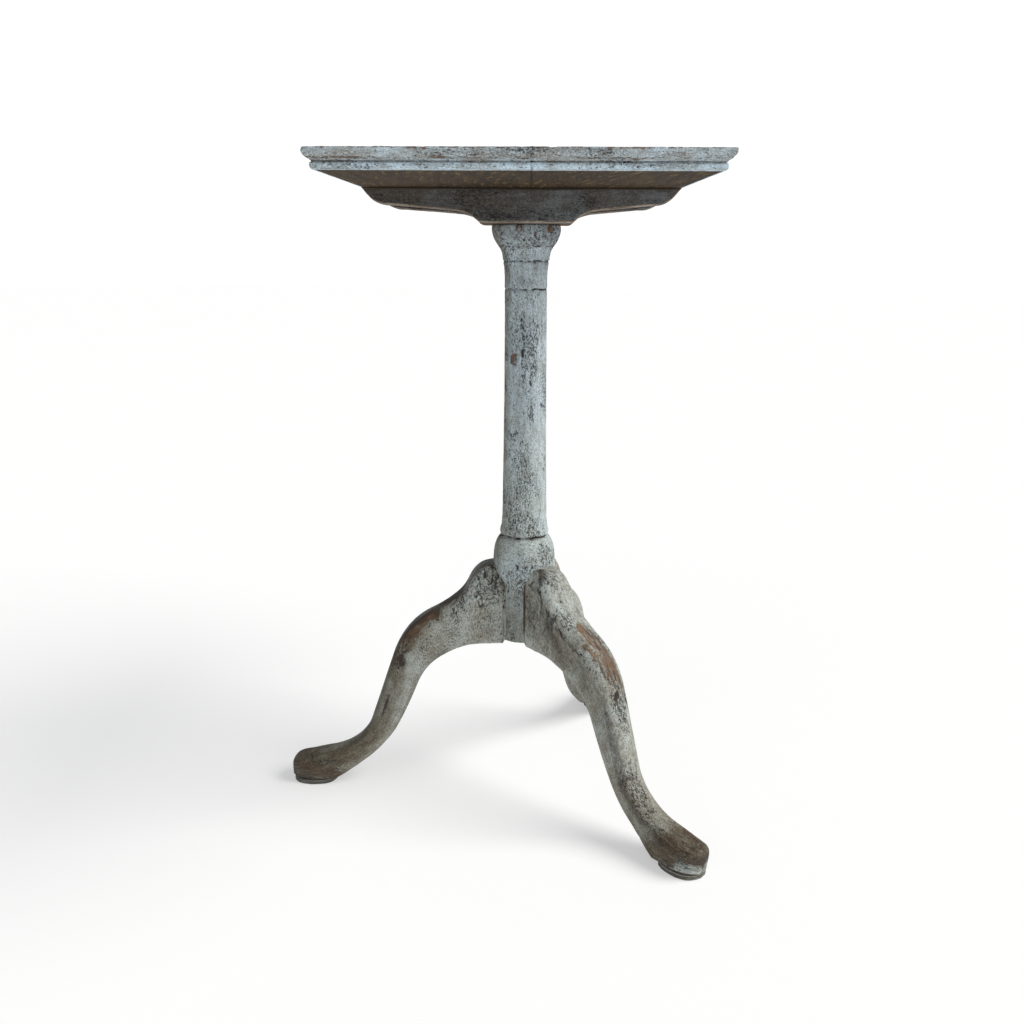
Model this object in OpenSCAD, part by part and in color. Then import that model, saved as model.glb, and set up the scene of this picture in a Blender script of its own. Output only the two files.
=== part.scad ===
// Tilt-top pedestal table. A moulded top of two boards is screwed to two shaped bearers, which
// turn on iron pins in a block. The block is wedged on a turned column with three cabriole legs.
// Origin on the floor at the middle of the footprint. X runs along the bearers and Z is up.

/* [Top] */
// Height of the top surface above the floor
table_h = 722; // [700:1:750]
// Width of the top, along the bearers
top_w = 346; // [340:1:380]
// Length of the top, across the bearers
top_d = 656; // [560:2:760]
// Thickness of the two boards
top_t = 18; // [17.5:0.5:24]
// How far the top sits off the column's axis, towards the catch
top_shift = 5.5; // [0:0.5:7]
// Distance of the joint between the boards from the column's axis
board_joint_x = 5; // [-20:1:20]
// How far the edge moulding steps in from the top surface to the underside
moulding_in = 9; // [8:0.5:12]

/* [Bearers] */
// Thickness of each bearer
bearer_t = 24; // [22:0.5:30]
// Depth of a bearer's wings below the top, near their tips
wing_h = 18.5; // [16:0.5:20]
// Depth of a bearer's centre below the top
centre_h = 35; // [30:0.5:38]
// Length of the deep flat centre
centre_w = 96; // [80:1:110]

/* [Pivot block] */
// Width of the square block, along and across the bearers
block_w = 98; // [90:1:110]
// Distance of the pivot axis from the underside of the top and from the end of the block
pivot_inset = 16; // [14:0.5:16.5]
// Radius of the iron pivot pins
pin_r = 4; // [3:0.25:4.5]
// Angle of the top when it is tipped up
tilt_angle = 0; // [0:1:90]

/* [Column] */
// Distance of the column's axis from the middle of the footprint
column_x = 42; // [36:1:50]
// Height of the column's lower end above the floor
column_foot_z = 191; // [188:1:194]
// Radius of the hub between the legs
hub_r = 29.5; // [28:0.5:30]
// Radius of the turned tenon in the block
tenon_r = 13; // [11:0.5:15]

/* [Legs] */
// Angle of the front leg from the bearers' direction
front_leg_angle = 48; // [46:0.5:60]
// Angle of the rear leg from the bearers' direction
rear_leg_angle = 64.5; // [55:0.5:70]
// Thickness of a leg at the hip, just outside the column
hip_w = 47; // [42:0.5:48]
// Thickness of a leg at the ankle
ankle_w = 34.5; // [31:0.5:37]
// Radius of the rounded toe, seen from above
foot_r = 22.5; // [20:0.5:24]
// Half width of the oval pad under the foot
pad_r = 21.5; // [20:0.5:22]
// Thickness of the oval pad
pad_h = 7; // [6:0.5:9]

/* [Catch] */
// Travel of the catch bolt
bolt_travel = 12; // [10:0.5:12]
// How far the catch bolt is shot out
bolt_shot = 0; // [0:0.5:10]

/* [Hidden] */
$fn = 96;

paint = [0.66, 0.69, 0.67];
leg_paint = [0.61, 0.62, 0.57];
bare_wood = [0.45, 0.36, 0.26];
iron = [0.26, 0.24, 0.22];
brass = [0.70, 0.56, 0.30];

under_z = table_h - top_t;
block_z = under_z - centre_h;
block_half = block_w / 2;
pivot_x = block_half - pivot_inset;
pivot_z = under_z - pivot_inset;
// The block's end and its rounded edge stay this far inside the tilted top
block_gap = 0.3;
// The bearers run this far from the block's sides
bearer_gap = 0.5;
bearer_in_y = block_half + bearer_gap;
bearer_half = top_w / 2 - moulding_in;
pin_clearance = 0.05;
pin_in_y = 24;
pin_out_y = bearer_in_y + 15.5;
pin_bore_y = bearer_in_y + 16.5;

// Wood screws: [shank radius, length]
bearer_screw = [2, 28];
catch_screw = [1.5, 13];
keeper_screw = [1.3, 12];
bearer_screw_x = [86, 126];

// Catch, measured from the column's axis and the underside of the top
bolt_w = 14;
bolt_t = 5;
bolt_drop = 8;
bolt_tip_x = block_half + 2.5;
bolt_tail_x = bolt_tip_x + 67;
collar_w = 20;
guide_l = 8;
guide_w = 22;
guide_h = 12.8;
guide_near_x = 58;
guide_far_x = 96;
slide_gap = 0.4;
stop_gap = 0.1;
plate_t = 2;
plate_w = 32;
plate_near_x = 56;
plate_far_x = 108;
keeper_w = 40;
keeper_low = 15;
keeper_high = 2;
mortise_depth = 13;

// Dovetail tongue of a leg, seen from above: inner and outer radius, half width at each
tongue_r = 12;
tongue_far_r = hub_r + 4;
tongue_in = 8;
tongue_out = 6;
tongue_h = 70;
// A leg's shoulder is hollowed to this multiple of the column's radius
leg_ease = 1.001;

// Upper and lower edge of a leg, as matching cubic stretches of [radius, height] from the
// column to the toe: shoulder, hollow, knee, shin, ankle, instep and toe
leg_edges = [
    [[[20, 283], [44, 287.5], [58, 280], [66.5, 260]], [[20, 185], [32, 185], [44, 186], [55, 185]]],
    [[[66.5, 260], [72.5, 247], [85, 236], [109, 223.5]], [[55, 185], [68, 184], [80, 180], [92, 172]]],
    [[[109, 223.5], [132, 212], [148.5, 193], [157.5, 166]], [[92, 172], [108, 163], [120, 150], [128, 130]]],
    [[[157.5, 166], [165, 144], [176, 111], [185, 84]], [[128, 130], [136, 110], [145, 88], [156, 69]]],
    [[[185, 84], [190, 67], [206, 48.5], [235, 42]], [[156, 69], [168, 51], [186, 32], [208, 19]]],
    [[[235, 42], [244, 40], [252, 38], [258, 36.3]], [[208, 19], [217, 13.7], [223, 10.4], [231, 6.5]]],
    [[[258, 36.3], [271, 32.8], [286, 34], [286.5, 19]], [[231, 6.5], [240, 6], [278, 6], [289, 6]]]
];
leg_steps = [6, 6, 8, 6, 8, 4, 12];
// Thickness of a leg at the start of each stretch
shoulder_w = 40;
instep_w = 40;
leg_widths = [
    [0, shoulder_w], [0.2, shoulder_w], [0.6, hip_w], [1.6, hip_w], [3, ankle_w + 2.5], [4, ankle_w],
    [5, instep_w], [6, 2 * foot_r]
];
// Squareness of a leg's section and the part of its width lost to the chamfers along its top
leg_squareness = [[0, 7], [1.5, 6.5], [2.4, 4.5], [3, 3.4], [4, 2.6], [5, 2.4], [6, 2.8]];
leg_chamfers = [[0, 0.1], [0.6, 0.2], [1.2, 0.3], [2, 0.3], [3, 0]];
// Squareness of the lower half of the section, which turns to the upright sides of the foot
lower_squareness = [[0, 7], [1.5, 6.5], [2.4, 4.5], [3, 3.4], [4, 2.6], [4.8, 2.6], [6, 8]];
// The chamfers start this far from the middle of the section towards its top
arris_u = 0.58;
ring_sides = 24;
toe_w = 8;
foot_centre = 264;
pad_near_r = 252;
pad_far_r = 263;

// Points of a cubic curve without its last point
function curve(c, steps) = [
    for (i = [0 : steps - 1])
        let (t = i / steps, u = 1 - t)
        u * u * u * c[0] + 3 * u * u * t * c[1] + 3 * u * t * t * c[2] + t * t * t * c[3]
];

// Outline of the turned column, from its foot up to the capital: [radius, height]
column_outline = concat(
    [[0, column_foot_z], [hub_r - 1, column_foot_z], [hub_r, column_foot_z + 1]],
    curve([[hub_r, 256], [hub_r, 268], [35.5, 270], [36.7, 280]], 8),
    curve([[36.7, 280], [37.1, 302], [34.2, 310], [29.2, 317.5]], 10),
    [[27.2, 318.5], [27.2, 319.5]],
    curve([[28.2, 320], [29.2, 324], [27.2, 328], [26.5, 331]], 6),
    [[26, 342], [24.8, 417], [23.9, 504], [23.7, 598], [23.1, 599.5], [23.1, 600.5], [23.8, 602]],
    curve([[23.8, 616], [23.8, 624], [24.6, 627.5], [25.8, 629]], 5),
    [[25.2, 629.8], [25.2, 630.8]],
    curve([[26, 631.5], [26.6, 639], [28, 642], [30.5, 645.5]], 6),
    curve([[30.5, 645.5], [35.5, 652], [38.7, 658], [38.7, block_z]], 8),
    [[38.7, block_z], [0, block_z]]
);

// Half outline of a bearer, from its centre out to its tip: [distance, depth below the top]
function bearer_outline(reach) = concat(
    [[0, -centre_h]],
    curve([[centre_w / 2, -centre_h], [centre_w / 2 + 6, -centre_h + 4.5],
           [centre_w / 2 + 9, -wing_h - 6], [centre_w / 2 + 30, -wing_h - 3.5]], 10),
    curve([[reach - 30, -wing_h + 1], [reach - 16, -wing_h + 0.5],
           [reach - 10, -wing_h * 0.73], [reach, 0]], 10),
    [[reach, 0]]
);

// Edge moulding: [step in from the top surface's edge, depth below the top surface]
moulding = concat(
    [[0, 0], [0, -4.4]],
    curve([[0.5, -4.6], [1.2, -7], [3, -9.2], [6, -9.8]], 8),
    [[6, -10.8], [7, -11.1], [7, -11.6]],
    curve([[6.2, -12], [5.4, -14.5], [6, -top_t], [moulding_in, -top_t]], 8),
    [[moulding_in, -top_t]]
);

module on_column() {
    translate([column_x, 0, 0]) children();
}

// Everything that tips up with the top
module on_top() {
    on_column()
        translate([pivot_x, 0, pivot_z])
            rotate([0, tilt_angle, 0])
                translate([-pivot_x, 0, -pivot_z])
                    children();
}

// Slab with the moulding on two opposite edges, running along Y
module moulded_slab(width, length) {
    right = [for (p = moulding) [width / 2 - p.x, p.y]];
    left = [for (i = [len(right) - 1 : -1 : 0]) [-right[i].x, right[i].y]];
    translate([0, length / 2, table_h])
        rotate([90, 0, 0])
            linear_extrude(length)
                polygon(concat(right, left));
}

module moulded_top() {
    translate([-top_shift, 0, 0]) intersection() {
        moulded_slab(top_w, top_d);
        rotate([0, 0, 90]) moulded_slab(top_d, top_w);
    }
}

// Wood screw with its head at the origin and its point up
module screw_body(size) {
    cylinder(h = size[0] * 1.5, r1 = size[0] * 2, r2 = size[0]);
    cylinder(h = size[1] * 0.8, r = size[0]);
    translate([0, 0, size[1] * 0.8])
        cylinder(h = size[1] * 0.2, r1 = size[0], r2 = size[0] / 4);
}

module slotted_screw(size) {
    difference() {
        screw_body(size);
        translate([-size[0] / 4, -size[0] * 3, -1])
            cube([size[0] / 2, size[0] * 6, size[0] * 0.5 + 1]);
    }
}

module at_bearer_screws() {
    for (x = bearer_screw_x, sx = [-1, 1], sy = [-1, 1])
        translate([sx * x, sy * (bearer_in_y + bearer_t / 2), under_z - wing_h + 1])
            children();
}

module at_catch_screws() {
    for (x = [72, 90], sy = [-1, 1])
        translate([-x, sy * 12.8, under_z - plate_t])
            children();
}

module at_keeper_screws() {
    for (sy = [-1, 1])
        translate([-block_half, sy * 14, under_z - bolt_drop])
            rotate([0, 90, 0])
                children();
}

module screw_holes_in_top() {
    at_bearer_screws() screw_body(bearer_screw);
    at_catch_screws() screw_body(catch_screw);
}

module top_board(x_from, x_to) {
    difference() {
        intersection() {
            moulded_top();
            translate([x_from, -top_d, 0]) cube([x_to - x_from, 2 * top_d, 2 * table_h]);
        }
        screw_holes_in_top();
    }
}

module top_board_left() {
    color(paint) on_top() top_board(-top_w, board_joint_x);
}

module top_board_right() {
    color(paint) on_top() top_board(board_joint_x, top_w);
}

// Bearer on the +Y side of the block
module bearer() {
    near = [for (p = bearer_outline(bearer_half - top_shift)) [p.x, under_z + p.y]];
    far = [for (p = bearer_outline(bearer_half + top_shift)) [-p.x, under_z + p.y]];
    difference() {
        translate([0, bearer_in_y + bearer_t, 0])
            rotate([90, 0, 0])
                linear_extrude(bearer_t)
                    polygon(concat(near, [for (i = [len(far) - 1 : -1 : 1]) far[i]]));
        translate([pivot_x, pin_bore_y, pivot_z])
            rotate([90, 0, 0])
                cylinder(h = pin_bore_y, r = pin_r + pin_clearance);
        at_bearer_screws() screw_body(bearer_screw);
        at_bearer_screws() translate([0, 0, -8]) cylinder(h = 8, r = bearer_screw[0] * 2);
    }
}

module bearer_front() {
    color(paint) on_top() mirror([0, 1, 0]) bearer();
}

module bearer_rear() {
    color(paint) on_top() bearer();
}

module bearer_screws() {
    color(iron) on_top() at_bearer_screws() slotted_screw(bearer_screw);
}

// Window that the catch bolt passes through, from the outside of the block inwards
module bolt_window(depth, gap) {
    translate([-block_half - 1, -bolt_w / 2 - gap, under_z - bolt_drop - bolt_t / 2 - gap])
        cube([depth + 1, bolt_w + 2 * gap, bolt_t + 2 * gap]);
}

module keeper_shape() {
    translate([-block_half, -keeper_w / 2, under_z - keeper_low])
        cube([plate_t, keeper_w, keeper_low - keeper_high]);
}

module pivot_block() {
    color(bare_wood) on_column() difference() {
        union() {
            translate([-block_half, -block_half, block_z])
                cube([block_half + pivot_x, block_w, centre_h]);
            translate([0, -block_half, block_z])
                cube([block_half - block_gap, block_w, centre_h - pivot_inset]);
            translate([pivot_x, block_half, pivot_z])
                rotate([90, 0, 0])
                    cylinder(h = block_w, r = pivot_inset - block_gap);
        }
        translate([0, 0, block_z - 1]) cylinder(h = centre_h + 2, r = tenon_r);
        for (side = [-1, 1])
            translate([pivot_x, side * (block_half + pin_in_y) / 2, pivot_z])
                rotate([90, 0, 0])
                    cylinder(h = block_half - pin_in_y, r = pin_r, center = true);
        keeper_shape();
        bolt_window(mortise_depth, 2 * slide_gap);
        at_keeper_screws() screw_body(keeper_screw);
    }
}

module wedge_shape() {
    translate([0, tenon_r - 1, 0])
        rotate([90, 0, 0])
            linear_extrude(2 * tenon_r - 2)
                polygon([[-0.4, under_z - 26], [0.4, under_z - 26], [1.6, under_z], [-1.6, under_z]]);
}

module tenon_wedge() {
    color(bare_wood) on_column() wedge_shape();
}

module pivot_pins() {
    color(iron) on_column()
        for (side = [-1, 1])
            translate([pivot_x, side * (pin_in_y + pin_out_y) / 2, pivot_z])
                rotate([90, 0, 0])
                    cylinder(h = pin_out_y - pin_in_y, r = pin_r, center = true);
}

module turned_column(ease = 1) {
    rotate_extrude() polygon([for (p = column_outline) [p.x * ease, p.y]]);
}

// Dovetail along the hub, from inside the column out into a leg
module dovetail(z_from) {
    translate([0, 0, z_from])
        linear_extrude(column_foot_z + tongue_h - z_from)
            polygon([[tongue_r, -tongue_in], [tongue_far_r, -tongue_out], [tongue_far_r, tongue_out],
                     [tongue_r, tongue_in]]);
}

module column() {
    color(paint) on_column() difference() {
        union() {
            turned_column();
            translate([0, 0, block_z - 1]) cylinder(h = centre_h + 1, r = tenon_r);
        }
        wedge_shape();
        for (a = [180, -front_leg_angle, rear_leg_angle])
            rotate([0, 0, a]) dovetail(column_foot_z - 1);
    }
}

// Closed loop around a leg between a point on its upper edge and one on its lower edge
function leg_ring(upper, lower, width, upper_squareness, under_squareness, chamfer) =
    let (mid = (upper + lower) / 2, half = (upper - lower) / 2)
    [
        for (i = [0 : ring_sides - 1])
            let (
                a = 360 * i / ring_sides,
                squareness = cos(a) < 0 ? under_squareness : upper_squareness,
                u = sign(cos(a)) * pow(abs(cos(a)), 2 / squareness),
                v = sign(sin(a)) * pow(abs(sin(a)), 2 / squareness),
                keep = 1 - chamfer * max(0, u - arris_u) / (1 - arris_u)
            )
            [mid.x + half.x * u, width / 2 * v * keep, mid.y + half.y * u]
    ];

// Thickness of a leg at stretch s, which closes to a round toe beyond the foot's centre
function leg_width(s, r) =
    r < foot_centre
        ? lookup(s, leg_widths)
        : 2 * sqrt(max(toe_w * toe_w / 4, foot_r * foot_r - pow(r - foot_centre, 2)));

module leg_body() {
    rings = [
        for (k = [0 : len(leg_edges) - 1])
            let (upper = curve(leg_edges[k][0], leg_steps[k]), lower = curve(leg_edges[k][1], leg_steps[k]))
            for (i = [0 : leg_steps[k] - 1])
                let (s = k + i / leg_steps[k])
                leg_ring(upper[i], lower[i], leg_width(s, (upper[i].x + lower[i].x) / 2),
                         lookup(s, leg_squareness), lookup(s, lower_squareness), lookup(s, leg_chamfers))
    ];
    n = ring_sides;
    last = len(rings) - 1;
    sides = [
        for (i = [0 : last - 1], j = [0 : n - 1])
            let (a = i * n + j, b = i * n + (j + 1) % n)
            each [[a, b, b + n], [a, b + n, a + n]]
    ];
    polyhedron(
        points = [for (ring = rings) each ring],
        faces = concat(sides, [[for (j = [n - 1 : -1 : 0]) j], [for (j = [0 : n - 1]) last * n + j]]),
        convexity = 8
    );
}

module leg(angle) {
    color(leg_paint) on_column() rotate([0, 0, angle]) union() {
        difference() {
            leg_body();
            turned_column(leg_ease);
            cylinder(h = column_foot_z + 2, r = hub_r * leg_ease);
        }
        dovetail(column_foot_z + 1);
        hull()
            for (r = [pad_near_r, pad_far_r])
                translate([r, 0, 0]) cylinder(h = pad_h, r = pad_r);
    }
}

module leg_left() {
    leg(180);
}

module leg_front() {
    leg(-front_leg_angle);
}

module leg_rear() {
    leg(rear_leg_angle);
}

module catch_plate() {
    color(brass) on_top() difference() {
        union() {
            translate([-plate_far_x, -plate_w / 2, under_z - plate_t])
                cube([plate_far_x - plate_near_x, plate_w, plate_t]);
            for (x = [guide_near_x, guide_far_x])
                translate([-x - guide_l, -guide_w / 2, under_z - guide_h])
                    cube([guide_l, guide_w, guide_h - plate_t / 2]);
        }
        translate([-bolt_tail_x, -bolt_w / 2 - slide_gap, under_z - bolt_drop - bolt_t / 2 - slide_gap])
            cube([bolt_tail_x, bolt_w + 2 * slide_gap, bolt_t + 2 * slide_gap]);
        at_catch_screws() screw_body(catch_screw);
    }
}

module catch_screws() {
    color(brass) on_top() at_catch_screws() slotted_screw(catch_screw);
}

// Everything that slides with the bolt, from under the top's centre line
module on_bolt() {
    on_top() translate([bolt_shot, 0, under_z - bolt_drop]) children();
}

module catch_bolt() {
    collar_from = guide_far_x - stop_gap;
    collar_to = guide_near_x + guide_l + bolt_travel + stop_gap;
    nose_r = bolt_w / 2;
    color(iron) on_bolt() {
        translate([-bolt_tail_x, -bolt_w / 2, -bolt_t / 2])
            cube([bolt_tail_x - bolt_tip_x - nose_r, bolt_w, bolt_t]);
        translate([-bolt_tip_x - nose_r, 0, -bolt_t / 2]) cylinder(h = bolt_t, r = nose_r);
        translate([-collar_from, -collar_w / 2, -bolt_t / 2])
            cube([collar_from - collar_to, collar_w, bolt_t]);
    }
}

module catch_knob() {
    color(brass) on_bolt()
        translate([-bolt_tail_x, 0, 0])
            rotate([0, -90, 0])
                rotate_extrude()
                    polygon([[0, 0], [3.5, 0], [3, 1.5], [2.5, 3], [4, 4], [5, 6], [4.6, 8], [3, 9.2], [0, 9.6]]);
}

module keeper_plate() {
    color(brass) on_column() difference() {
        keeper_shape();
        bolt_window(mortise_depth, 2 * slide_gap);
        at_keeper_screws() screw_body(keeper_screw);
    }
}

module keeper_screws() {
    color(brass) on_column() at_keeper_screws() slotted_screw(keeper_screw);
}

top_board_left();
top_board_right();
bearer_front();
bearer_rear();
bearer_screws();
pivot_block();
tenon_wedge();
pivot_pins();
column();
leg_left();
leg_front();
leg_rear();
catch_plate();
catch_screws();
catch_bolt();
catch_knob();
keeper_plate();
keeper_screws();
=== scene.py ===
"""Worn, painted tilt top table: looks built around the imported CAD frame."""

import math

import bpy
import numpy as np
from mathutils import Matrix, Vector


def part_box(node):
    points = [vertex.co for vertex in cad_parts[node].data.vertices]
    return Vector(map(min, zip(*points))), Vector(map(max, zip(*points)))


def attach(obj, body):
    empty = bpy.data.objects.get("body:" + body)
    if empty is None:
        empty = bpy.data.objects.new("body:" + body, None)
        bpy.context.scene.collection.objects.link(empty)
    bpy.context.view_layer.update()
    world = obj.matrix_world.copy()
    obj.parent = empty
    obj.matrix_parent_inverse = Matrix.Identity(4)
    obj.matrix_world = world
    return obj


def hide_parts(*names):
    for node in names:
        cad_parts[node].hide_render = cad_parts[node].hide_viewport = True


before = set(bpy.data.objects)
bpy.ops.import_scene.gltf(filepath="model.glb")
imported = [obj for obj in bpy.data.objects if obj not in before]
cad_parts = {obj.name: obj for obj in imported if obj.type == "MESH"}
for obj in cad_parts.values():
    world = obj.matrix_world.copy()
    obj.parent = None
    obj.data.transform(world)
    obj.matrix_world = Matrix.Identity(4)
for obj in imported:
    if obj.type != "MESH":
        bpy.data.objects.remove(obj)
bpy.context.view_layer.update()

MM = 0.001

# ---- places read from the frame -------------------------------------------------------------

column_lo, column_hi = (np.array(c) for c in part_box("column"))
COLUMN_X = (column_lo[0] + column_hi[0]) / 2 / MM
left_lo, left_hi = (np.array(c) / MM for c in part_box("top_board_left"))
right_lo, right_hi = (np.array(c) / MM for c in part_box("top_board_right"))
TABLE_H = left_hi[2]
UNDER_Z = left_lo[2]
TOP_T = TABLE_H - UNDER_Z
BLOCK_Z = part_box("pivot_block")[0].z / MM
FOOT_Z = column_lo[2] / MM
FRONT = np.array(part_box("bearer_front")) / MM
REAR = np.array(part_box("bearer_rear")) / MM


# ---- numbers and noise ----------------------------------------------------------------------


def lattice(cell, seed):
    n = cell @ np.array([374761393, 668265263, 1274126177]) + seed * 974634777
    n = (n ^ (n >> 13)) * 1274126177
    n = (n ^ (n >> 16)) & 0xFFFFFF
    return n / float(0xFFFFFF)


def value_noise(p, seed=0):
    """Smooth noise from 0 to 1 at each row of p."""
    cell = np.floor(p).astype(np.int64)
    f = p - cell
    f = f * f * (3 - 2 * f)
    total = np.zeros(len(p))
    for dx in (0, 1):
        for dy in (0, 1):
            for dz in (0, 1):
                weight = (
                    (f[:, 0] if dx else 1 - f[:, 0])
                    * (f[:, 1] if dy else 1 - f[:, 1])
                    * (f[:, 2] if dz else 1 - f[:, 2])
                )
                total += weight * lattice(cell + np.array([dx, dy, dz]), seed)
    return total


def fractal(p, size, seed=0, octaves=3):
    """Noise from -1 to 1 with features about size millimetres across."""
    total, amplitude, weight = np.zeros(len(p)), 1.0, 0.0
    q = p / size
    for k in range(octaves):
        total += amplitude * (value_noise(q, seed + 7 * k) * 2 - 1)
        weight += amplitude
        amplitude *= 0.5
        q = q * 2.03 + 11.7
    return total / weight


def smooth(x, low, high):
    t = np.clip((x - low) / (high - low), 0, 1)
    return t * t * (3 - 2 * t)


def curve(points, steps, last=False):
    """Points of a cubic curve."""
    c = np.array(points, float)
    t = np.linspace(0, 1, steps + 1)[: steps + (1 if last else 0), None]
    u = 1 - t
    return u**3 * c[0] + 3 * u * u * t * c[1] + 3 * u * t * t * c[2] + t**3 * c[3]


def resample(points, spacing):
    """Points along a polyline, with no gap over spacing and its corners kept."""
    out = []
    for a, b in zip(points[:-1], points[1:]):
        n = max(1, math.ceil(np.linalg.norm(b - a) / spacing))
        out += [a + (b - a) * k / n for k in range(n)]
    return np.array(out + [points[-1]])


# ---- mesh helpers ---------------------------------------------------------------------------


def make_object(name, verts, faces, attributes):
    """A smooth-shaded mesh from points in millimetres, with point attributes for its materials."""
    mesh = bpy.data.meshes.new(name)
    mesh.from_pydata((np.asarray(verts) * MM).tolist(), [], faces)
    for key, values in attributes.items():
        values = np.asarray(values, np.float32)
        kind = "FLOAT_VECTOR" if values.ndim == 2 else "FLOAT"
        field = "vector" if values.ndim == 2 else "value"
        mesh.attributes.new(key, kind, "POINT").data.foreach_set(field, values.ravel())
    mesh.polygons.foreach_set("use_smooth", [True] * len(mesh.polygons))
    mesh.validate()
    mesh.update()
    obj = bpy.data.objects.new(name, mesh)
    bpy.context.scene.collection.objects.link(obj)
    return obj


def loft_faces(rings, sides, offset=0, caps=True):
    faces = []
    for i in range(rings - 1):
        for j in range(sides):
            a = offset + i * sides + j
            b = offset + i * sides + (j + 1) % sides
            faces.append((a, b, b + sides, a + sides))
    if caps:
        faces.append(tuple(offset + j for j in range(sides))[::-1])
        faces.append(tuple(offset + (rings - 1) * sides + j for j in range(sides)))
    return faces


def normals_of(verts, faces):
    """Area-weighted point normals."""
    n = np.zeros_like(verts)
    quads = np.array([f for f in faces if len(f) == 4])
    face_n = np.cross(verts[quads[:, 2]] - verts[quads[:, 0]], verts[quads[:, 3]] - verts[quads[:, 1]])
    for k in range(4):
        np.add.at(n, quads[:, k], face_n)
    length = np.linalg.norm(n, axis=1, keepdims=True)
    return n / np.maximum(length, 1e-9)


# ---- shader helpers -------------------------------------------------------------------------


class Shader:
    """A material's node tree, built from small calls that return sockets."""

    def __init__(self, name):
        self.material = bpy.data.materials.new(name)
        self.material.use_nodes = True
        self.tree = self.material.node_tree
        self.tree.nodes.clear()
        self.out = self.tree.nodes.new("ShaderNodeOutputMaterial")
        self.bsdf = self.tree.nodes.new("ShaderNodeBsdfPrincipled")
        self.tree.links.new(self.bsdf.outputs[0], self.out.inputs[0])

    def put(self, socket, value):
        if isinstance(value, bpy.types.NodeSocket):
            self.tree.links.new(value, socket)
        elif isinstance(value, (tuple, list)) and len(value) == 3 and socket.type == "RGBA":
            socket.default_value = (*value, 1)
        else:
            socket.default_value = value

    def node(self, kind, **settings):
        n = self.tree.nodes.new(kind)
        for key, value in settings.items():
            setattr(n, key, value)
        return n

    def attribute(self, name, vector=False):
        n = self.node("ShaderNodeAttribute", attribute_name=name)
        return n.outputs["Vector" if vector else "Fac"]

    def math(self, operation, a, b=0.0):
        n = self.node("ShaderNodeMath", operation=operation)
        self.put(n.inputs[0], a)
        self.put(n.inputs[1], b)
        return n.outputs[0]

    def scaled(self, vector, factors, shift=(0, 0, 0)):
        n = self.node("ShaderNodeVectorMath", operation="MULTIPLY_ADD")
        self.put(n.inputs[0], vector)
        n.inputs[1].default_value = factors
        n.inputs[2].default_value = shift
        return n.outputs[0]

    def noise(self, vector, scale, detail=4.0, roughness=0.6, distortion=0.0):
        n = self.node("ShaderNodeTexNoise")
        self.put(n.inputs["Vector"], vector)
        n.inputs["Scale"].default_value = scale
        n.inputs["Detail"].default_value = detail
        n.inputs["Roughness"].default_value = roughness
        n.inputs["Distortion"].default_value = distortion
        return n.outputs[0]

    def step(self, value, low, high, start=0.0, end=1.0):
        n = self.node("ShaderNodeMapRange", interpolation_type="SMOOTHSTEP")
        self.put(n.inputs["Value"], value)
        n.inputs["From Min"].default_value = low
        n.inputs["From Max"].default_value = high
        n.inputs["To Min"].default_value = start
        n.inputs["To Max"].default_value = end
        return n.outputs[0]

    def mix(self, factor, a, b, blend="MIX"):
        n = self.node("ShaderNodeMix", data_type="RGBA", blend_type=blend)
        self.put(n.inputs[0], factor)
        self.put(n.inputs[6], a)
        self.put(n.inputs[7], b)
        return n.outputs[2]

    def wobble(self, vector, scale, amount):
        """The vector, pushed about by noise, so that lines wander."""
        n = self.node("ShaderNodeTexNoise")
        self.put(n.inputs["Vector"], vector)
        n.inputs["Scale"].default_value = scale
        n.inputs["Detail"].default_value = 3
        add = self.node("ShaderNodeVectorMath", operation="MULTIPLY_ADD")
        self.tree.links.new(n.outputs["Color"], add.inputs[0])
        add.inputs[1].default_value = (amount, amount, amount)
        self.put(add.inputs[2], vector)
        return add.outputs[0]

    def finish(self, color, roughness, height, distance, strength=0.6):
        self.put(self.bsdf.inputs["Base Color"], color)
        self.put(self.bsdf.inputs["Roughness"], roughness)
        bump = self.node("ShaderNodeBump")
        bump.inputs["Strength"].default_value = strength
        bump.inputs["Distance"].default_value = distance
        self.put(bump.inputs["Height"], height)
        self.tree.links.new(bump.outputs[0], self.bsdf.inputs["Normal"])
        return self.material


def rgb(r, g, b):
    """sRGB 0 to 255 as linear."""
    return tuple(((c / 255 + 0.055) / 1.055) ** 2.4 if c > 10 else c / 255 / 12.92 for c in (r, g, b))


# Brown tint for stains and for painted shade
STAIN_AND_SHADE_TINT = (0.42, 0.36, 0.28)


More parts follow.
